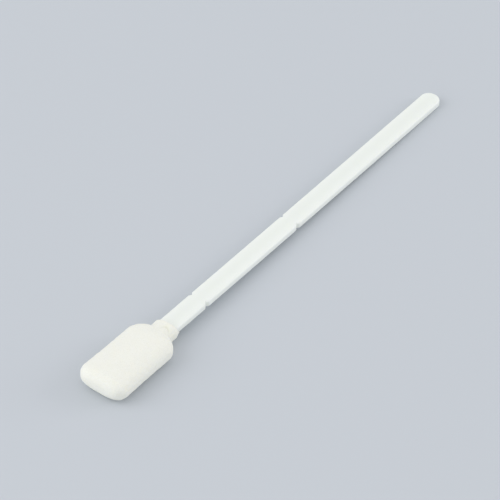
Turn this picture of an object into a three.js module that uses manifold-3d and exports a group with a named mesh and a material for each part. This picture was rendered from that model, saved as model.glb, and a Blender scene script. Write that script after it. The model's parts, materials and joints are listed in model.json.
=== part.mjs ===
// Foam-tipped specimen swab: a flat moulded handle with break notches, and a heat-formed foam head
// welded around the handle's hidden tang and paddle.
//
// Millimetres, +Z up. Each piece is built in the swab's own frame, with +X running from the foam tip
// (x = 0) to the handle's round end, +Y across the handle and z = 0 on its mid-plane. The whole swab
// is then tilted and lifted to lie at rest, on the underside of its head and the end of its handle.
import * as THREE from 'three';
import { LoftGeometry } from 'three/addons/geometries/LoftGeometry.js';
import { mergeVertices } from 'three/addons/utils/BufferGeometryUtils.js';
import Module from 'manifold-3d';

const wasm = await Module();
wasm.setup();

// --- Whole swab ---------------------------------------------------------------------------------
const swabLength = 127;            // foam tip to the round end of the handle
const fitGap = 0.3;                // clearance between foam and plastic

// --- Handle -------------------------------------------------------------------------------------
const handleWidth = 4.9;
const handleThickness = 1.8;
const handleEdgeRadius = 0.45;     // rounding of every long edge
const roundEndLength = 2.2;        // half-ellipse at the far end, seen from above

// --- Break notches: two pairs, with one notch in each edge of the handle --------------------------
const firstNotch = 35.6;           // distance from the foam tip to the middle of the pair
const secondNotch = 69.1;
const notchLength = 1.3;
const notchDepth = 0.45;

// --- Foam head ----------------------------------------------------------------------------------
const headLength = 21.2;           // foam tip to the root of the neck
const headWidth = 12.6;
const headThickness = 5.7;
const headSquareness = 2.8;        // superellipse exponent of the cross-section: 2 is an ellipse
const tipEdge = 1.0;               // thickness left at the very front
const tipRoll = (headThickness - tipEdge) / 2;   // rounding of the front edge, seen from the side
const tipCornerReach = 3.3;        // the two front corners, seen from above
const tipCornerSquareness = 2.3;
const shoulderRoll = 2.5;          // rounding down to the neck, seen from the side
const shoulderReach = 3.6;         // the two corners beside the neck, seen from above
const shoulderSquareness = 1.8;

// --- Tang and paddle: the end of the handle that is hidden in the foam ----------------------------
const tangInset = 0.3;             // step from every side of the handle in to the tang
const tangWidth = handleWidth - 2 * tangInset;
const tangThickness = handleThickness - 2 * tangInset;
const tangRoot = 2.0;              // length of tang that is one with the body of the handle
const tangCorner = 0.3;
const paddleTipCover = 3.6;        // foam in front of the paddle
const paddleSideCover = 2.6;       // foam on each side of the paddle
const paddleNeckCover = 2.4;       // foam behind the paddle, up to the root of the neck
const paddleThickness = 1.0;
const paddleCorner = 1.5;

// --- Foam neck, formed around the tang ------------------------------------------------------------
const neckLength = 2.4;
const neckSideWall = 0.55;         // foam beside the tang
const neckFaceWall = 1.3;          // foam above and below the tang
const neckWidth = tangWidth + 2 * (fitGap + neckSideWall);
const neckThickness = tangThickness + 2 * (fitGap + neckFaceWall);
const neckEndRound = 0.3;          // rounding of the neck's open end

// --- Facets ---------------------------------------------------------------------------------------
const sectionSides = 48;           // sides of each cross-section of the foam
const roundSteps = 8;              // steps in each rounded stretch of the foam
const neckEndSteps = 3;
const outlineSteps = 14;           // steps in each round part of an outline seen from above
const edgeSteps = 5;               // steps across the rounding of the handle's edges

const foamMaterial = new THREE.MeshStandardMaterial({ color: 0xf2f1ea, roughness: 1.0, metalness: 0 });
const plasticMaterial = new THREE.MeshStandardMaterial({ color: 0xeff2ee, roughness: 0.42, metalness: 0 });

/** The closed solid held by a geometry, once the corners that its faces share are joined. */
function solid(geometry) {
  const shell = new THREE.BufferGeometry().copy(geometry);
  shell.deleteAttribute('normal');
  shell.deleteAttribute('uv');
  const joined = mergeVertices(shell, 1e-5);
  return new wasm.Manifold(new wasm.Mesh({
    numProp: 3,
    vertProperties: new Float32Array(joined.attributes.position.array),
    triVerts: new Uint32Array(joined.index.array),
  }));
}

/** A named piece made from a solid. */
function piece(name, body, material) {
  const { vertProperties, triVerts } = body.getMesh();
  const geometry = new THREE.BufferGeometry();
  geometry.setAttribute('position', new THREE.BufferAttribute(vertProperties, 3));
  geometry.setIndex(new THREE.BufferAttribute(triVerts, 1));
  geometry.computeVertexNormals();
  const mesh = new THREE.Mesh(geometry, material);
  mesh.name = name;
  return mesh;
}

/** Steps from 0 to a length that crowd towards 0, where a rounding turns fastest. */
function crowdedSteps(length, count) {
  return Array.from({ length: count + 1 }, (_, i) => length * (1 - Math.cos((i / count) * Math.PI / 2)));
}

/**
 * How much a superelliptic corner takes off at a distance from its end: its whole reach at 0, and
 * nothing from the reach on, where the side is straight.
 */
function cornerCut(distance, reach, squareness) {
  const left = Math.max(0, 1 - distance / reach);
  return reach * (1 - (1 - left ** squareness) ** (1 / squareness));
}

/** One cross-section of the foam: a superellipse across the swab, with flat facets above and below. */
function foamSection(x, halfWidth, halfThickness) {
  const power = 2 / headSquareness;
  return Array.from({ length: sectionSides }, (_, i) => {
    const angle = ((i + 0.5) / sectionSides) * 2 * Math.PI;
    const across = Math.cos(angle);
    const up = Math.sin(angle);
    return new THREE.Vector3(
      x,
      halfWidth * Math.sign(across) * Math.abs(across) ** power,
      halfThickness * Math.sign(up) * Math.abs(up) ** power,
    );
  });
}

/** The head's cross-section at a distance behind the foam tip, never smaller than the neck's. */
function headSection(x) {
  const toNeck = headLength - x;
  const halfWidth = headWidth / 2
    - cornerCut(x, tipCornerReach, tipCornerSquareness)
    - cornerCut(toNeck, shoulderReach, shoulderSquareness);
  const halfThickness = headThickness / 2 - cornerCut(x, tipRoll, 2) - cornerCut(toNeck, shoulderRoll, 2);
  const behindMiddle = toNeck < x;
  return foamSection(
    x,
    behindMiddle ? Math.max(halfWidth, neckWidth / 2) : halfWidth,
    behindMiddle ? Math.max(halfThickness, neckThickness / 2) : halfThickness,
  );
}

/** The foam's outer form: a crowned pad with rounded edges that narrows to a short neck. */
function foamPad() {
  const tipStations = crowdedSteps(Math.max(tipCornerReach, tipRoll), roundSteps);
  const shoulderStations = crowdedSteps(Math.max(shoulderReach, shoulderRoll), roundSteps)
    .map((step) => headLength - step)
    .reverse();
  const neckEnd = headLength + neckLength;
  const neckSections = crowdedSteps(neckEndRound, neckEndSteps).reverse().map((step) => {
    const cut = cornerCut(step, neckEndRound, 2);
    return foamSection(neckEnd - step, neckWidth / 2 - cut, neckThickness / 2 - cut);
  });
  const sections = [...tipStations.map(headSection), ...shoulderStations.map(headSection), ...neckSections];
  return solid(new LoftGeometry(sections, { capStart: true, capEnd: true }));
}

/** A flat plate with rounded corners, centred on the swab's axis and grown on every side. */
function plate(start, end, width, thickness, corner, grown) {
  const x0 = start - grown;
  const x1 = end + grown;
  const halfWidth = width / 2 + grown;
  const radius = corner + grown;
  const outline = new THREE.Shape();
  outline.absarc(x1 - radius, halfWidth - radius, radius, 0, Math.PI / 2);
  outline.absarc(x0 + radius, halfWidth - radius, radius, Math.PI / 2, Math.PI);
  outline.absarc(x0 + radius, radius - halfWidth, radius, Math.PI, 1.5 * Math.PI);
  outline.absarc(x1 - radius, radius - halfWidth, radius, 1.5 * Math.PI, 2 * Math.PI);
  outline.closePath();
  const depth = thickness + 2 * grown;
  const geometry = new THREE.ExtrudeGeometry(outline, {
    depth,
    bevelEnabled: false,
    curveSegments: outlineSteps,
  });
  return solid(geometry.translate(0, 0, -depth / 2));
}

const handleStart = headLength + neckLength + fitGap;

/** The tang and paddle together, grown on every side: by nothing as plastic, by the gap as a pocket. */
function tangAndPaddle(grown) {
  const paddleEnd = headLength - paddleNeckCover;
  const paddleWidth = headWidth - 2 * paddleSideCover;
  const paddle = plate(paddleTipCover, paddleEnd, paddleWidth, paddleThickness, paddleCorner, grown);
  const tangStart = paddleEnd - paddleCorner;
  const tang = plate(tangStart, handleStart + tangRoot, tangWidth, tangThickness, tangCorner, grown);
  return paddle.add(tang);
}

/** The visible length of the handle, with its break notches, round end and rounded edges. */
function handleBar() {
  const edge = handleWidth / 2;
  const outline = new THREE.Shape();
  outline.moveTo(handleStart, -edge);
  for (const station of [firstNotch, secondNotch]) {
    outline.lineTo(station - notchLength / 2, -edge);
    outline.lineTo(station, notchDepth - edge);
    outline.lineTo(station + notchLength / 2, -edge);
  }
  outline.absellipse(swabLength - roundEndLength, 0, roundEndLength, edge, -Math.PI / 2, Math.PI / 2);
  for (const station of [secondNotch, firstNotch]) {
    outline.lineTo(station + notchLength / 2, edge);
    outline.lineTo(station, edge - notchDepth);
    outline.lineTo(station - notchLength / 2, edge);
  }
  outline.lineTo(handleStart, edge);
  outline.closePath();
  const depth = handleThickness - 2 * handleEdgeRadius;
  const geometry = new THREE.ExtrudeGeometry(outline, {
    depth,
    bevelThickness: handleEdgeRadius,
    bevelSize: handleEdgeRadius,
    bevelOffset: -handleEdgeRadius,
    bevelSegments: edgeSteps,
    curveSegments: 2 * outlineSteps,
  });
  return solid(geometry.translate(0, 0, -depth / 2));
}

const handle = piece('handle', handleBar().add(tangAndPaddle(0)), plasticMaterial);
const foamHead = piece('foam_head', foamPad().subtract(tangAndPaddle(fitGap)), foamMaterial);

/** The tilt at which the underside of the head and the far end of the handle both touch a level surface. */
function restTilt() {
  const headContact = headLength - shoulderRoll;
  const handleContact = swabLength - handleEdgeRadius;
  return Math.atan2((headThickness - handleThickness) / 2, handleContact - headContact);
}

const swab = new THREE.Group();
swab.add(handle, foamHead);
swab.rotation.y = restTilt();
const lying = new THREE.Box3().setFromObject(swab, true);
swab.position.set(-(lying.min.x + lying.max.x) / 2, 0, -lying.min.z);

export default swab;
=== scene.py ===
import json
import math

import bmesh
import bpy
import numpy as np
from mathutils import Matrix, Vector


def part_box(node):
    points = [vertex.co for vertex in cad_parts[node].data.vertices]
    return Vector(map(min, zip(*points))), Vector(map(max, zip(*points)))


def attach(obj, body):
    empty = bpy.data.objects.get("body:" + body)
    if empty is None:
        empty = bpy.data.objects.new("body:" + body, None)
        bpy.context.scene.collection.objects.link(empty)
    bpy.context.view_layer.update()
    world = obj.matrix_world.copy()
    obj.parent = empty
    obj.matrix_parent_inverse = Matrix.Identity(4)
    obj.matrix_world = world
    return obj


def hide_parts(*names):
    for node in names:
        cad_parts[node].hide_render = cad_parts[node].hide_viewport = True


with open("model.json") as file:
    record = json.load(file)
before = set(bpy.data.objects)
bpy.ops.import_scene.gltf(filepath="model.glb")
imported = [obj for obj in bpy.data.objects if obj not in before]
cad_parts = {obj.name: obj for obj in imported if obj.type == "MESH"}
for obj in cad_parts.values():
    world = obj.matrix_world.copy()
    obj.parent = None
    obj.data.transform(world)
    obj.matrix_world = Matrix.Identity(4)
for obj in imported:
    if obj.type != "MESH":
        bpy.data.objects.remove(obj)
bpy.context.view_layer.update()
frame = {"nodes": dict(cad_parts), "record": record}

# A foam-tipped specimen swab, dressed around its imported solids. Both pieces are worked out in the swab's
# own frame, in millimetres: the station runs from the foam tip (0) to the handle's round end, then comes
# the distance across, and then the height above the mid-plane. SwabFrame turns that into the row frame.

MM = 0.001

# --- Foam head, in millimetres --------------------------------------------------------------------
HEAD_LENGTH = 21.0             # foam tip to the root of the neck
HEAD_SQUARENESS = 2.8          # superellipse exponent of the head's cross-section
HEAD_WAIST = 0.12              # how far each side is drawn in at the middle of the head
HEAD_TAPER = 0.09              # how much further out each side is at the tip, and further in at the root
HEAD_LEAN = 0.12               # the tip sits this far to +Y of the swab's axis
HEAD_CROWN = 0.15              # how much the crown lifts the middle of the top against its sides
CROWN_BALANCE = 0.3            # the share of that which is taken off all over, so the middle rises less
CROWN_FADE = 3.0               # full from this far behind the tip's corners to this far before the slope
TIP_CORNER_REACH = 3.4         # how far the tip's corners reach, along and across
TIP_CORNER_SQUARENESS = 2.28
TIP_ROLL = 2.37                # radius by which the tip is rolled over, top and bottom
SHOULDER_REACH = 3.55          # how far the shoulders beside the neck reach, along and across
SHOULDER_SQUARENESS = 1.88
SHOULDER_SKEW = 0.25           # the +Y shoulder is this much further from the tip than the -Y one
TOP_SLOPE = (18.1, 22.2)       # stations between which the top falls to the neck
UNDERSIDE_SLOPE = (17.3, 21.8)

# --- Foam neck, in millimetres --------------------------------------------------------------------
NECK_WIDTH = 6.02
NECK_TOP = 2.0                 # height of the neck above the mid-plane
NECK_RISE = 0.12               # how much higher it is just before the lip
NECK_RISE_START = 22.0
NECK_BOTTOM = 2.4
NECK_SQUARENESS = 2.48
NECK_SHIFT = -0.09             # the neck sits a little to -Y of the handle's middle
SECTION_CHANGE = 0.6           # the head's section turns into the neck's over this length before the root
LIP_START = 23.85              # where the neck falls away to the lip that is melted onto the handle
LIP_END = 24.75                # on top, in the middle
LIP_EDGE = 0.16                # thickness of the lip's edge
LIP_BEND = 0.2                 # the share of the fall over which the underside bends down into it
LIP_LONGER = 1.9               # how much further the lip reaches underneath, in the middle
LIP_LONGER_LOSS = 0.65         # the share of that which is lost at both edges of the handle
LIP_SHORTER = (0.15, 0.7)      # how much sooner it ends at the -Y and +Y edges of the handle
LIP_SHORTER_FROM = 0.3         # the share of the handle's half width from which it ends sooner
PINCH_DEPTH = 0.3              # the arc-shaped crease pressed into the top of the neck
PINCH_STATION = 22.65          # the middle of the arc, which bulges towards the handle
PINCH_ACROSS = -1.2
PINCH_CURVE = 0.7              # how fast the arc turns back towards the head, per mm of its width
PINCH_LENGTH = 0.3             # from its middle line to where it is about a third as deep
PINCH_WIDTH = 1.2              # the same to each side of the middle of the arc
SCORCH_SLOPE = (20.0, 22.0)    # stations between which the foam turns a little yellow, pressed by heat
NECK_SCORCH = 0.1              # how yellow the neck is, as a share of the crease
CREASE_TONE_AND_SHADE_SPREAD = 2       # how many times as long as the crease its yellowed surroundings with painted shade are
FOAM_CLEARANCE = 0.03          # between foam and plastic, where the foam grips
LIP_OUTSIDE = FOAM_CLEARANCE + LIP_EDGE
FOAM_RIPPLE = 0.012            # the skin's unevenness, each way
FOAM_RIPPLE_LENGTH = 1.6       # distance between two of its high spots

# --- Handle, in millimetres -----------------------------------------------------------------------
EDGE_RADIUS = 0.45
ROUND_END_LENGTH = 2.25
NOTCH_STATIONS = (35.4, 69.0)
NOTCH_LENGTH = 1.3
NOTCH_DEPTH = 0.52
SINK_DEPTH = 0.05              # how far the middle of each face has drawn in as the plastic set
SINK_START = (2.0, 26.0)       # it deepens between these distances from the start of the bar
SINK_END = (-1.5, 1.0)         # and fades between these distances from the start of the round end
THICK_SHADED_MIDDLE = 0.3             # half width of the middle strip, which light gets through least and which is painted darker for it
BOW = 0.1                      # how far the middle of the handle bows to -Y
BAR_START = 23.9
TANG_INSET = 0.3
HIDDEN_EDGE_RADIUS = 0.08      # rounding of the tang and paddle
PADDLE_START = 3.6
PADDLE_END = 18.8
PADDLE_WIDTH = 7.4
PADDLE_THICKNESS = 1.0
PADDLE_CORNER = 1.5

# --- How finely the meshes are drawn --------------------------------------------------------------
FOAM_RING_POINTS = 160
TIP_RINGS, HEAD_RINGS, SHOULDER_RINGS, NECK_RINGS, LIP_RINGS = 32, 62, 38, 34, 22
PADDLE_CORNER_ROWS = 12
BAR_ROWS = (14, 36, 56)        # before, between and after the two notches
NOTCH_ROWS = 13
ROUND_END_ROWS = 30
FLAT_POINTS = 12               # from the middle of the handle's flat to its edge
EDGE_POINTS = 9                # over a quarter turn of the handle's edge
SHARP_ANGLE = 35               # in degrees: the handle's edges that turn by more stay sharp

CIRCLE = 2                     # the squareness of a corner that is a quarter circle


class SwabFrame:
    """The swab's own frame inside the row frame, read from the record's two mounts and the CAD box."""

    def __init__(self, record):
        mounts = {m["name"]: m for m in record["mounts"]}
        top, under = mounts["handle_top"], mounts["handle_underside"]
        self.up = np.array(top["axis"]) / np.linalg.norm(top["axis"])
        self.across = np.array([0.0, 1.0, 0.0])
        self.along = np.cross(self.across, self.up)
        on_axis = (np.array(top["pos_m"]) + np.array(under["pos_m"])) / 2
        to_tip = (on_axis[0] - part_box("foam_head")[0].x) / self.along[0]
        self.tip = on_axis - to_tip * self.along

    def row(self, station, across, height):
        """Points of the row frame, in metres: the tip plus each distance times its own axis."""
        parts = zip((station, across, height), (self.along, self.across, self.up))
        return self.tip + MM * sum(np.asarray(d)[..., None] * axis for d, axis in parts)

    def own(self, points):
        """Station, distance across and height, in millimetres, of points of the row frame."""
        return (points - self.tip) @ np.stack([self.along, self.across, self.up], 1) / MM


def node_points(name):
    """A CAD node's vertices, in the row frame, in metres."""
    vertices = frame["nodes"][name].data.vertices
    points = np.empty(3 * len(vertices))
    vertices.foreach_get("co", points)
    return points.reshape(-1, 3)


swab = SwabFrame(frame["record"])
foam_cad = swab.own(node_points("foam_head"))
handle_cad = swab.own(node_points("handle"))
bar_cad = handle_cad[handle_cad[:, 0] > LIP_END + LIP_LONGER]

HEAD_WIDTH = np.ptp(foam_cad[:, 1])
HEAD_THICKNESS = np.ptp(foam_cad[:, 2])
SWAB_LENGTH = handle_cad[:, 0].max()
BAR_WIDTH = np.ptp(bar_cad[:, 1])
BAR_THICKNESS = np.ptp(bar_cad[:, 2])
TANG_WIDTH = BAR_WIDTH - 2 * TANG_INSET
TANG_THICKNESS = BAR_THICKNESS - 2 * TANG_INSET


# --- Shapes ---------------------------------------------------------------------------------------
def corner_cut(distance, reach, squareness):
    """What a superelliptic corner takes off: reach times (1 - (1 - u^n)^(1/n)), where n is the
    squareness and u falls from 1 at the corner's end to 0 at its reach."""
    left = np.clip(1 - distance / reach, 0, 1)
    return reach * (1 - (1 - left ** squareness) ** (1 / squareness))


def ramp(value, start, end):
    """0 before start, 1 after end, and straight in between."""
    return np.clip((value - start) / (end - start), 0, 1)


def smooth(value, start, end):
    """0 before start, 1 after end, and 3t^2 - 2t^3 in between."""
    t = ramp(value, start, end)
    return t * t * (3 - 2 * t)


def mix(first, second, share):
    """From the first value to the second as the share goes from 0 to 1."""
    return first * (1 - share) + second * share


def crowded(start, end, count):
    """Stations from start to end that crowd towards start, as 1 - cos of a quarter turn does."""
    return start + (end - start) * (1 - np.cos(np.linspace(0, math.pi / 2, count)))


def ripple(points, length, waves=40, seed=7):
    """A smooth unevenness, mostly from -1 to 1: the sum of sine waves in seeded random directions, each
    about the given length from crest to crest, over the square root of their number."""
    random = np.random.default_rng(seed)
    fewest, most = 0.7, 1.4            # waves in the given length
    direction = random.normal(size=(waves, 3))
    direction /= np.linalg.norm(direction, axis=1, keepdims=True)
    turns = 2 * math.pi / length * random.uniform(fewest, most, waves)
    phase = random.uniform(0, 2 * math.pi, waves)
    return np.sin(points @ (direction * turns[:, None]).T + phase).sum(-1) / math.sqrt(waves)


def pole(ring):
    """A ring that has shrunk to a point, at the mean of the given ring, to close a surface with."""
    return np.tile(ring.mean(0), (1, len(ring), 1))


def closed_surface(name, rings, material):
    """A closed mesh from rings[i, j] of points in the swab's own frame, with j around. Each ring is
    joined to the next by quads, and the first and last have shrunk to a point or folded onto a line.
    Points that fall together are merged, what has no area is dropped, and every face is turned outwards."""
    count, sides = rings.shape[:2]
    points = rings.reshape(-1, 3)
    i = np.arange(count - 1)[:, None] * sides
    j = np.arange(sides)[None, :]
    after = (j + 1) % sides
    quads = np.stack([i + j, i + after, i + sides + after, i + sides + j], -1).reshape(-1, 4)
    mesh = bpy.data.meshes.new(name)
    mesh.from_pydata(swab.row(*points.T).tolist(), [], quads.tolist())
    work = bmesh.new()
    work.from_mesh(mesh)
    same_point = 0.0005 * MM
    bmesh.ops.remove_doubles(work, verts=work.verts, dist=same_point)
    bmesh.ops.dissolve_degenerate(work, edges=work.edges, dist=same_point)
    bmesh.ops.recalc_face_normals(work, faces=work.faces)
    work.to_mesh(mesh)
    work.free()
    mesh.materials.append(material)
    mesh.shade_smooth()
    piece = bpy.data.objects.new(name, mesh)
    bpy.context.scene.collection.objects.link(piece)
    return piece


def store(piece, name, formula):
    """Stores a named value at each of a piece's points: the formula's answer for their stations, distances
    across and heights in the swab's own frame. Materials read it."""
    mesh = piece.data
    points = np.empty(3 * len(mesh.vertices))
    mesh.vertices.foreach_get("co", points)
    values = formula(*swab.own(points.reshape(-1, 3)).T)
    mesh.attributes.new(name, "FLOAT", "POINT").data.foreach_set("value", values.astype(np.float32))


# --- Foam head ------------------------------------------------------------------------------------
def rounded_rectangle(across, height, half_width, half_height, radius):
    """Where rays from the axis through the given points cross a rectangle with round corners: at its side,
    at its face, or between them at the far root of the ray's quadratic with the corner's circle."""
    tiny = 1e-9                # for a ray that never meets the side or the face
    x, y = np.abs(across), np.abs(height)
    to_side = half_width / np.maximum(x, tiny)
    to_face = half_height / np.maximum(y, tiny)
    centre_x, centre_y = half_width - radius, half_height - radius
    square, dot = x * x + y * y, x * centre_x + y * centre_y
    under_root = dot * dot - square * (centre_x ** 2 + centre_y ** 2 - radius ** 2)
    to_corner = (dot + np.sqrt(np.maximum(under_root, 0))) / square
    reach = np.where(to_face * x <= centre_x, to_face, to_corner)
    reach = np.where(to_side * y <= centre_y, to_side, reach)
    return across * reach, height * reach


def beneath(height):
    """How far down the side of the handle a point lies: 0 a quarter of the thickness above the mid-plane,
    1 at the underside, and 3t^2 - 2t^3 in between."""
    return smooth(-height, -BAR_THICKNESS / 4, BAR_THICKNESS / 2)


def lip_longer(across, height):
    """How much further along the handle the lip reaches underneath, less by a parabola towards both edges
    of the handle."""
    share = np.clip(across / (BAR_WIDTH / 2), -1, 1)
    return LIP_LONGER * beneath(height) * (1 - LIP_LONGER_LOSS * share ** 2)


def lip_shorter(across, height):
    """How much sooner the lip ends towards both edges of the handle, on top and at the sides."""
    half = BAR_WIDTH / 2
    sides = zip(LIP_SHORTER, (-across, across))
    at_edges = sum(amount * smooth(out, LIP_SHORTER_FROM * half, half) for amount, out in sides)
    return (1 - beneath(height)) * at_edges


def pinch(station, across, length):
    """A Gaussian along an arc, from 0 to 1: exp(-(a^2 + b^2)), with a as the distance from the arc over the
    given length, and b as the distance from its middle over its width. The arc is a parabola."""
    off_middle = across - PINCH_ACROSS
    from_arc = station - PINCH_STATION + PINCH_CURVE * off_middle ** 2
    return np.exp(-(from_arc / length) ** 2 - (off_middle / PINCH_WIDTH) ** 2)


def foam_stations():
    """Stations of the foam's rings. They crowd towards the flat of the tip and the root of the neck, where
    the outline turns sharply."""
    shoulder_start = HEAD_LENGTH - SHOULDER_REACH
    return np.concatenate([
        crowded(0, TIP_CORNER_REACH, TIP_RINGS),
        np.linspace(TIP_CORNER_REACH, shoulder_start, HEAD_RINGS)[1:-1],
        crowded(HEAD_LENGTH, shoulder_start, SHOULDER_RINGS)[::-1],
        np.linspace(HEAD_LENGTH, LIP_START, NECK_RINGS)[1:],
        np.linspace(LIP_START, LIP_END, LIP_RINGS)[1:],
    ])


def foam_half_width(stations, fallen):
    """Half widths of the foam, seen from above. The head is a tapered strip, drawn in by a sine squared,
    less its corner cuts, down to the neck's width, which leaves a sharp corner beside the neck. The neck
    narrows to the lip as it falls."""
    strip = HEAD_WIDTH / 2 + HEAD_TAPER * (1 - 2 * stations / HEAD_LENGTH)
    strip = strip - HEAD_WAIST * np.sin(math.pi * np.clip(stations / HEAD_LENGTH, 0, 1)) ** 2
    strip = strip - corner_cut(stations, TIP_CORNER_REACH, TIP_CORNER_SQUARENESS)
    to_neck = np.maximum(HEAD_LENGTH - stations, 0)
    strip = strip - corner_cut(to_neck, SHOULDER_REACH, SHOULDER_SQUARENESS)
    strip = np.where(stations < HEAD_LENGTH, strip, 0)
    neck = mix(NECK_WIDTH / 2, BAR_WIDTH / 2 + LIP_OUTSIDE, fallen)
    return np.where(stations > HEAD_LENGTH / 2, np.maximum(strip, neck), strip)


def foam_half_heights(stations, fallen, slanted):
    """Half heights of the foam above and below the mid-plane, seen from the side. The head is rolled over
    at the tip by quarter circles and slopes smoothly into the neck. The neck falls to the lip: smoothly on
    top, and underneath by 1 - (1 - t)^2, which levels off as it reaches the handle."""
    lip = BAR_THICKNESS / 2 + LIP_OUTSIDE
    head = HEAD_THICKNESS / 2 - corner_cut(stations, TIP_ROLL, CIRCLE)
    neck_top = NECK_TOP + NECK_RISE * smooth(stations, NECK_RISE_START, LIP_START)
    underside_fallen = (1 - (1 - slanted) ** 2) * smooth(slanted, 0, LIP_BEND)
    above = mix(head, mix(neck_top, lip, fallen), smooth(stations, *TOP_SLOPE))
    below = mix(head, mix(NECK_BOTTOM, lip, underside_fallen), smooth(stations, *UNDERSIDE_SLOPE))
    return above, below


def crown(stations, share):
    """What the crown multiplies the top's heights by: 1 + k ((1 - u^2)^2 - b), where u is the share of the
    half width, b is the balance, and k is the crown over the half height, which fades at both ends."""
    size = smooth(stations, 0, TIP_CORNER_REACH + CROWN_FADE)
    size = size * (1 - smooth(stations, TOP_SLOPE[0] - CROWN_FADE, HEAD_LENGTH))
    return 1 + HEAD_CROWN / (HEAD_THICKNESS / 2) * size * ((1 - share ** 2) ** 2 - CROWN_BALANCE)


def foam_outside(angles):
    """Rings of the foam's outside, from the flat of the tip to the edge of the lip.

    Each ring is a superellipse with one half height above and another below: across is a cos|cos|^(2/n-1)
    and height is b sin|sin|^(2/n-1). At the lip, it turns into the handle's own rounded rectangle. Then the
    stations are stretched at the lip and at the +Y shoulder, and the crease is pressed into the top. Along
    the lip, fallen goes smoothly from 0 to 1, and slanted goes straight."""
    stations = foam_stations()[:, None]
    fallen = smooth(stations, LIP_START, LIP_END)
    slanted = ramp(stations, LIP_START, LIP_END)
    on_neck = smooth(stations, HEAD_LENGTH - SECTION_CHANGE, HEAD_LENGTH)
    cosine, sine = np.cos(angles)[None, :], np.sin(angles)[None, :]
    on_top = sine > 0

    half_width = foam_half_width(stations, fallen)
    half_height = np.where(on_top, *foam_half_heights(stations, fallen, slanted))
    power = 2 / mix(HEAD_SQUARENESS, NECK_SQUARENESS, on_neck)
    across = half_width * np.sign(cosine) * np.abs(cosine) ** power
    height = half_height * np.sign(sine) * np.abs(sine) ** power
    height = height * np.where(on_top, crown(stations, across / half_width), 1)

    square = rounded_rectangle(across, height, half_width, half_height, EDGE_RADIUS + LIP_OUTSIDE)
    lean = HEAD_LEAN * (1 - stations / HEAD_LENGTH)
    across = mix(across, square[0], fallen) + mix(lean, NECK_SHIFT, on_neck) * (1 - fallen)
    height = mix(height, square[1], fallen)

    drawn = ramp(stations, (HEAD_LENGTH + LIP_END) / 2, LIP_END)
    skewed = smooth(stations, HEAD_LENGTH - SHOULDER_REACH, HEAD_LENGTH)
    skewed = skewed * (1 - smooth(stations, HEAD_LENGTH, LIP_START))
    station = stations + slanted * lip_longer(across, height) - drawn * lip_shorter(across, height)
    station = station + SHOULDER_SKEW * skewed * smooth(across, 0, NECK_WIDTH / 2)
    height = height - PINCH_DEPTH * pinch(station, across, PINCH_LENGTH) * on_top
    return np.stack([station, across, height], -1)


def foam_pocket(angles, lip):
    """Rings of the foam's inside, from the edge of the lip back to the front of the paddle.

    The first two grip the handle's bar, and lie where rays to the lip's own points cross it. The others are
    rectangles whose corners are quarter circles, around the tang and then the paddle, whose own corners are
    quarter circles seen from above. Where the two meet, the pocket is as thick as one and as wide as the
    other."""
    gap = FOAM_CLEARANCE
    half_size = (BAR_WIDTH / 2 + gap, BAR_THICKNESS / 2 + gap)
    mouth = rounded_rectangle(lip[:, 1], lip[:, 2], *half_size, EDGE_RADIUS + gap)
    bar_start = np.full(len(lip), BAR_START - gap)
    grip = [np.stack([station, *mouth], -1) for station in (lip[:, 0], bar_start)]

    corners = crowded(PADDLE_START - gap, PADDLE_START + PADDLE_CORNER, PADDLE_CORNER_ROWS)[::-1]
    inset = corner_cut(corners - PADDLE_START + gap, PADDLE_CORNER + gap, CIRCLE)
    steps = [
        (BAR_START - gap, TANG_WIDTH, TANG_THICKNESS),
        (PADDLE_END + gap, TANG_WIDTH, TANG_THICKNESS),
        (PADDLE_END + gap, PADDLE_WIDTH, TANG_THICKNESS),
        (PADDLE_END - gap, PADDLE_WIDTH, TANG_THICKNESS),
        (PADDLE_END - gap, PADDLE_WIDTH, PADDLE_THICKNESS),
    ]
    stations, widths, heights = (np.array(v) for v in zip(*steps))
    stations = np.concatenate([stations, corners])[:, None]
    half_width = np.concatenate([widths / 2, PADDLE_WIDTH / 2 - inset])[:, None] + gap
    half_height = np.concatenate([heights / 2, np.full(len(corners), PADDLE_THICKNESS / 2)])[:, None] + gap
    radius = HIDDEN_EDGE_RADIUS + gap
    cosine, sine = np.cos(angles)[None, :], np.sin(angles)[None, :]
    across = np.sign(cosine) * (half_width - radius) + radius * cosine
    height = np.sign(sine) * (half_height - radius) + radius * sine
    hidden = np.stack([stations + 0 * across, across, height], -1)
    return np.concatenate([grip, hidden])


def pressed(station, across, height):
    """How yellow heat has made the foam where it pressed it together, from 0 to 1: a little all over the
    neck, and fully on and around the crease, where the same colour also paints shade into the crease."""
    on_neck = smooth(station, *SCORCH_SLOPE) * (1 - smooth(station, LIP_START, LIP_END))
    # painted shade: the crease and its surroundings are darkened in colour, as well as yellowed by heat
    crease_tone_and_shade = pinch(station, across, CREASE_TONE_AND_SHADE_SPREAD * PINCH_LENGTH) * (height > 0)
    return np.clip(NECK_SCORCH * on_neck + crease_tone_and_shade, 0, 1)


def build_foam_head(material):
    """The foam head and neck: its outside, the lip's edge, and the pocket that grips the tang and paddle.
    The skin swells and shrinks by a ripple, as a share of each point's distance from the axis."""
    angles = (np.arange(FOAM_RING_POINTS) + 0.5) / FOAM_RING_POINTS * 2 * math.pi
    outside = foam_outside(angles)
    swelling = FOAM_RIPPLE / (HEAD_THICKNESS / 2) * ripple(outside, FOAM_RIPPLE_LENGTH)
    swelling = swelling * (1 - smooth(outside[..., 0], HEAD_LENGTH, LIP_START))
    outside[..., 1:] *= 1 + swelling[..., None]
    inside = foam_pocket(angles, outside[-1])
    rings = np.concatenate([pole(outside[0]), outside, inside, pole(inside[-1])])
    piece = closed_surface("foam_pad", rings, material)
    store(piece, "pressed", pressed)
    return piece


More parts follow.
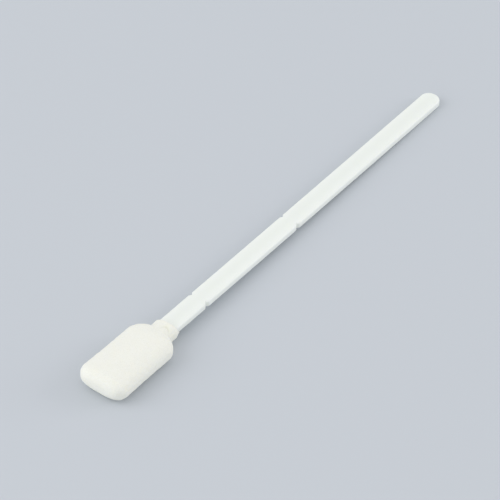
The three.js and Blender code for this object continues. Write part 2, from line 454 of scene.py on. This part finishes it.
# --- Handle ---------------------------------------------------------------------------------------
def ring_pattern():
    """One ring of the handle, from the middle of its top face round by +Y: how far across the flat each
    point lies (0 to 1), how far it turns over the rounded edge (0 to a quarter turn), and the signs of
    its distance across and of its height. The last three quarters mirror the first."""
    across_flat = np.linspace(0, 1, FLAT_POINTS)
    over_edge = np.linspace(0, math.pi / 2, EDGE_POINTS)[1:]
    share = np.concatenate([across_flat, np.ones(len(over_edge))])
    turn = np.concatenate([np.zeros(len(across_flat)), over_edge])
    quarters = [
        (1, 1, slice(None)), (1, -1, slice(None, None, -1)),
        (-1, -1, slice(1, None)), (-1, 1, slice(None, 0, -1)),
    ]
    pattern = []
    for side, face, part in quarters:
        signs = np.ones_like(share[part])
        pattern.append(np.stack([share[part], turn[part], side * signs, face * signs]))
    return np.concatenate(pattern, 1)


def hidden_rows():
    """Rows of the paddle and the tang, from the front of the paddle to the bar. The paddle's corners are
    quarter circles."""
    corners = crowded(PADDLE_START, PADDLE_START + PADDLE_CORNER, PADDLE_CORNER_ROWS)
    inset = corner_cut(corners - PADDLE_START, PADDLE_CORNER, CIRCLE)
    station = np.concatenate([corners, [PADDLE_END, PADDLE_END, BAR_START]])
    step = [PADDLE_WIDTH / 2, TANG_WIDTH / 2, TANG_WIDTH / 2]
    half_width = np.concatenate([PADDLE_WIDTH / 2 - inset, step])
    half = np.full(len(station), PADDLE_THICKNESS / 2)
    half[-2:] = TANG_THICKNESS / 2
    radius = np.full(len(station), HIDDEN_EDGE_RADIUS)
    return np.stack([station, half_width, station, half_width - radius, half, radius, 0 * station])


def bar_rows():
    """Rows of the bar, from the tang to the round end. Each notch is a V in both edges. The round end is a
    half-ellipse, and the flat's outline there is a smaller one about the same centre. The last row has no
    width, so its ring folds onto a line and closes the end."""
    end_start = SWAB_LENGTH - ROUND_END_LENGTH
    first, second = (n + NOTCH_LENGTH / 2 * np.linspace(-1, 1, NOTCH_ROWS) for n in NOTCH_STATIONS)
    before, between, after = BAR_ROWS
    side = np.concatenate([
        [BAR_START],
        np.linspace(BAR_START + EDGE_RADIUS, first[0], before)[:-1],
        first,
        np.linspace(first[-1], second[0], between)[1:-1],
        second,
        np.linspace(second[-1], end_start, after)[1:-1],
    ])
    from_notches = [np.abs(side - n) / (NOTCH_LENGTH / 2) for n in NOTCH_STATIONS]
    notch = sum(NOTCH_DEPTH * np.clip(1 - distance, 0, 1) for distance in from_notches)
    turn = np.linspace(0, math.pi / 2, ROUND_END_ROWS)
    outer_half, inner_half = BAR_WIDTH / 2, BAR_WIDTH / 2 - EDGE_RADIUS
    outer = np.concatenate([outer_half - notch, outer_half * np.cos(turn)])
    inner = np.concatenate([inner_half - notch, inner_half * np.cos(turn)])
    outer_station = np.concatenate([side, end_start + ROUND_END_LENGTH * np.sin(turn)])
    inner_station = np.concatenate([side, end_start + (ROUND_END_LENGTH - EDGE_RADIUS) * np.sin(turn)])
    sunk = smooth(outer_station - BAR_START, *SINK_START)
    sunk = SINK_DEPTH * sunk * (1 - smooth(inner_station - end_start, *SINK_END))
    all_rows = np.ones(len(outer))
    half, radius = all_rows * BAR_THICKNESS / 2, all_rows * EDGE_RADIUS
    return np.stack([outer_station, outer, inner_station, inner, half, radius, sunk])


def thick(_station, across, _height):
    """The share of the darker colour painted in the handle's middle, as painted light for what gets through
    its thin edges but not its middle: 1 in the middle, and straight down to 0 at its edges."""
    return 1 - ramp(np.abs(across), THICK_SHADED_MIDDLE, BAR_WIDTH / 2)


def build_handle(material):
    """The handle: paddle, tang and bar as one moulding.

    Each row of it is one ring. It holds the station and half width of its outline, the same where the
    rounded edge meets the flat, the half thickness, the edge radius and the sink. Across the flat, a ring
    keeps its height, less the sink, which fades towards the edge as (1 - share^2)^2. Over the edge, it goes
    from the inner to the outer outline by the sine of the turn, and down by the radius times 1 - cos. The
    bow is a parabola along the bar."""
    share, turn, side, face = ring_pattern()
    rows = np.concatenate([hidden_rows(), bar_rows()], 1)
    outer_station, outer, inner_station, inner, half, radius, sunk = (v[:, None] for v in rows)
    over = np.sin(turn)
    station = mix(inner_station, outer_station, over)
    across = side * np.where(turn > 0, mix(inner, outer, over), share * inner)
    height = face * (half - radius * (1 - np.cos(turn)) - sunk * (1 - share ** 2) ** 2)
    along_bar = ramp(station, BAR_START, SWAB_LENGTH)
    bowed = 4 * along_bar * (1 - along_bar)
    across = across - BOW * bowed
    rings = np.stack([station, across, height], -1)
    piece = closed_surface("handle_moulding", np.concatenate([pole(rings[0]), rings]), material)
    # the share of the handle's middle whose colour is painted darker, as painted light through its edges
    store(piece, "thick", thick)
    piece.data.set_sharp_from_angle(angle=math.radians(SHARP_ANGLE))
    return piece


# --- Materials ------------------------------------------------------------------------------------
def linear(hex_colour):
    """Linear RGBA of an sRGB hex colour."""
    srgb = np.array([int(hex_colour[i:i + 2], 16) for i in (1, 3, 5)]) / 255
    rgb = np.where(srgb <= 0.04045, srgb / 12.92, ((srgb + 0.055) / 1.055) ** 2.4)
    return (*rgb.tolist(), 1.0)


def add_node(tree, kind, inputs=None, **settings):
    """Adds a node with its settings. Each input is given by name, as a value or as the socket it reads."""
    made = tree.nodes.new(kind)
    for name, value in settings.items():
        setattr(made, name, value)
    for name, value in (inputs or {}).items():
        if isinstance(value, bpy.types.NodeSocket):
            tree.links.new(value, made.inputs[name])
        else:
            made.inputs[name].default_value = value
    return made


def new_material(name):
    """An empty material with its shader and output: (material, node tree, shader)."""
    material = bpy.data.materials.new(name)
    material.use_nodes = True
    tree = material.node_tree
    tree.nodes.clear()
    shader = add_node(tree, "ShaderNodeBsdfPrincipled")
    add_node(tree, "ShaderNodeOutputMaterial", {"Surface": shader.outputs["BSDF"]})
    return material, tree, shader


def per_mm(size):
    """The scale of a pattern on coordinates in metres whose repeat is this many millimetres."""
    return 1 / (size * MM)


def open_cell_polyurethane_foam():
    """Open-cell polyurethane foam, pressed and cut under heat. Its thin walls scatter light softly, so it
    is matt and off-white, and each cell is a shallow pit whose bottom is painted darker than its walls, as
    painted shade. It is yellower where heat has pressed it together, and the crease in its neck is painted
    darker as well, as painted shade. Real cells are about 0.25 mm across, and are drawn at 0.4 mm so that
    they show."""
    material, tree, shader = new_material("open-cell polyurethane foam, heat-formed")
    place = add_node(tree, "ShaderNodeTexCoord").outputs["Object"]
    wander = add_node(tree, "ShaderNodeTexNoise", {"Vector": place, "Scale": per_mm(0.5), "Detail": 1.0})
    furthest = (0.12 * MM, 0.12 * MM, 0.12 * MM)      # how far the cells are pushed out of place
    shifted = add_node(tree, "ShaderNodeVectorMath", {
        0: wander.outputs["Color"], 1: furthest, 2: place,
    }, operation="MULTIPLY_ADD")
    cells = add_node(tree, "ShaderNodeTexVoronoi", {
        "Vector": shifted.outputs["Vector"], "Scale": per_mm(0.4),
    }, feature="DISTANCE_TO_EDGE")
    depth = add_node(tree, "ShaderNodeMapRange", {
        "Value": cells.outputs["Distance"], "From Min": 0.02, "From Max": 0.3,
    }, interpolation_type="SMOOTHSTEP")
    tone = add_node(tree, "ShaderNodeTexNoise", {"Vector": place, "Scale": per_mm(5.0), "Detail": 2.0})
    walls = add_node(tree, "ShaderNodeMix", {
        "Factor": tone.outputs["Fac"], "A": linear("#f7f7ee"), "B": linear("#f4f4eb"),
    }, data_type="RGBA")
    # painted shade: the bottoms of the cells are a little darker than their walls
    pits_in_painted_shade = add_node(tree, "ShaderNodeMix", {
        "Factor": tone.outputs["Fac"], "A": linear("#f3f3e9"), "B": linear("#f0f0e6"),
    }, data_type="RGBA")
    walls_and_shaded_pits = add_node(tree, "ShaderNodeMix", {
        "Factor": depth.outputs["Result"], "A": walls.outputs["Result"], "B": pits_in_painted_shade.outputs["Result"],
    }, data_type="RGBA")
    # yellower where heat pressed the foam, and painted shade in the crease of the neck
    heat = add_node(tree, "ShaderNodeAttribute", attribute_name="pressed")
    colour = add_node(tree, "ShaderNodeMix", {
        "Factor": heat.outputs["Fac"], "A": walls_and_shaded_pits.outputs["Result"], "B": linear("#f1f1e4"),
    }, data_type="RGBA")
    tree.links.new(colour.outputs["Result"], shader.inputs["Base Color"])
    shader.inputs["Roughness"].default_value = 1.0
    shader.inputs["Subsurface Weight"].default_value = 0.25
    shader.inputs["Subsurface Radius"].default_value = (1.0, 0.95, 0.8)
    shader.inputs["Subsurface Scale"].default_value = 0.5 * MM
    bump = add_node(tree, "ShaderNodeBump", {
        "Strength": 0.45, "Distance": 0.04 * MM, "Height": depth.outputs["Result"],
    }, invert=True)
    tree.links.new(bump.outputs["Normal"], shader.inputs["Normal"])
    return material


def moulded_polypropylene():
    """Injection-moulded polypropylene: white with a faint green-grey cast and a satin sheen. Its colour is
    painted paler towards its thin edges and darker in the middle, as painted light for what gets through
    the edges. The mould's fine eroded grain, really about 0.05 mm, is drawn at 0.3 mm so that it shows, and
    the melt has left faint streaks along its flow."""
    material, tree, shader = new_material("injection-moulded polypropylene, satin")
    place = add_node(tree, "ShaderNodeTexCoord").outputs["Object"]
    along = add_node(tree, "ShaderNodeMapping", {"Vector": place, "Scale": (0.06, 1.0, 1.0)})
    streaks = add_node(tree, "ShaderNodeTexNoise", {
        "Vector": along.outputs["Vector"], "Scale": per_mm(1.2), "Detail": 2.0,
    })
    grain = add_node(tree, "ShaderNodeTexNoise", {"Vector": place, "Scale": per_mm(0.3), "Detail": 2.0})
    tone = add_node(tree, "ShaderNodeMix", {
        "Factor": streaks.outputs["Fac"], "A": linear("#f6faf4"), "B": linear("#f2f6f0"),
    }, data_type="RGBA")
    # painted light: the thin edges are paler and the middle darker, for light that gets through the edges
    thickness = add_node(tree, "ShaderNodeAttribute", attribute_name="thick")
    colour = add_node(tree, "ShaderNodeMix", {
        "Factor": thickness.outputs["Fac"], "A": tone.outputs["Result"], "B": linear("#f0f4ee"),
    }, data_type="RGBA")
    tree.links.new(colour.outputs["Result"], shader.inputs["Base Color"])
    roughness = add_node(tree, "ShaderNodeMapRange", {
        "Value": streaks.outputs["Fac"], "From Min": 0.3, "From Max": 0.7, "To Min": 0.38, "To Max": 0.48,
    })
    tree.links.new(roughness.outputs["Result"], shader.inputs["Roughness"])
    shader.inputs["IOR"].default_value = 1.49
    shader.inputs["Subsurface Weight"].default_value = 0.3
    shader.inputs["Subsurface Radius"].default_value = (1.0, 1.0, 0.9)
    shader.inputs["Subsurface Scale"].default_value = 0.8 * MM
    bump = add_node(tree, "ShaderNodeBump", {
        "Strength": 0.3, "Distance": 0.02 * MM, "Height": grain.outputs["Fac"],
    })
    tree.links.new(bump.outputs["Normal"], shader.inputs["Normal"])
    return material


# --- Stage ----------------------------------------------------------------------------------------
def build_floor():
    """A plain pale floor, far wider than the swab."""
    half = 3.0
    corners = [(-half, -half, 0), (half, -half, 0), (half, half, 0), (-half, half, 0)]
    mesh = bpy.data.meshes.new("floor")
    mesh.from_pydata(corners, [], [(0, 1, 2, 3)])
    material, _tree, shader = new_material("matt paper")
    shader.inputs["Base Color"].default_value = linear("#c9ced4")
    shader.inputs["Roughness"].default_value = 0.9
    mesh.materials.append(material)
    floor = bpy.data.objects.new("floor", mesh)
    bpy.context.scene.collection.objects.link(floor)


def aim(thing, place, target):
    """Puts a light or camera at a place and points it at a target."""
    thing.location = place
    thing.rotation_mode = "QUATERNION"
    thing.rotation_quaternion = (Vector(target) - Vector(place)).to_track_quat("-Z", "Y")
    bpy.context.scene.collection.objects.link(thing)


def add_softbox(name, azimuth, elevation, size, power):
    """A square soft light that faces the swab from 2 m, with its size in metres and its power in watts.
    Azimuth 0 is +X and 90 is +Y, in degrees."""
    distance = 2.0
    turn, rise = math.radians(azimuth), math.radians(elevation)
    direction = Vector((math.cos(turn) * math.cos(rise), math.sin(turn) * math.cos(rise), math.sin(rise)))
    data = bpy.data.lights.new(name, "AREA")
    data.shape = "SQUARE"
    data.size = size
    data.energy = power
    softbox = bpy.data.objects.new(name, data)
    softbox.visible_camera = False
    aim(softbox, direction * distance, (0, 0, 0))


def add_room_light(strength):
    """Even light from all around."""
    world = bpy.data.worlds.new("studio")
    world.use_nodes = True
    background = world.node_tree.nodes["Background"]
    background.inputs["Color"].default_value = linear("#fafbfd")
    background.inputs["Strength"].default_value = strength
    bpy.context.scene.world = world


def add_camera():
    """A long lens that looks down on the swab from its tip end. Azimuth 0 looks along +Y. The distance is
    in metres, and the focal length and the target are in millimetres."""
    azimuth, elevation = math.radians(-52.29), math.radians(43.08)
    distance, focal_length = 0.7391, 232.5
    back = Vector((
        math.sin(azimuth) * math.cos(elevation),
        -math.cos(azimuth) * math.cos(elevation),
        math.sin(elevation),
    ))
    data = bpy.data.cameras.new("camera")
    data.lens = focal_length
    camera = bpy.data.objects.new("camera", data)
    target = Vector((-5.745, 2.716, 0)) * MM
    aim(camera, target + back * distance, target)
    bpy.context.scene.camera = camera


# --- The swab -------------------------------------------------------------------------------------
foam_pad = build_foam_head(open_cell_polyurethane_foam())
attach(foam_pad, "root")
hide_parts("foam_head")

handle_moulding = build_handle(moulded_polypropylene())
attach(handle_moulding, "root")
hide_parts("handle")

build_floor()
add_softbox("key", azimuth=135, elevation=35, size=1.6, power=12.2)
add_softbox("near side", azimuth=315, elevation=18, size=1.2, power=9.8)
add_softbox("front", azimuth=180, elevation=18, size=1.2, power=3.5)
add_room_light(strength=0.766)
add_camera()
bpy.context.scene.view_settings.view_transform = "Standard"
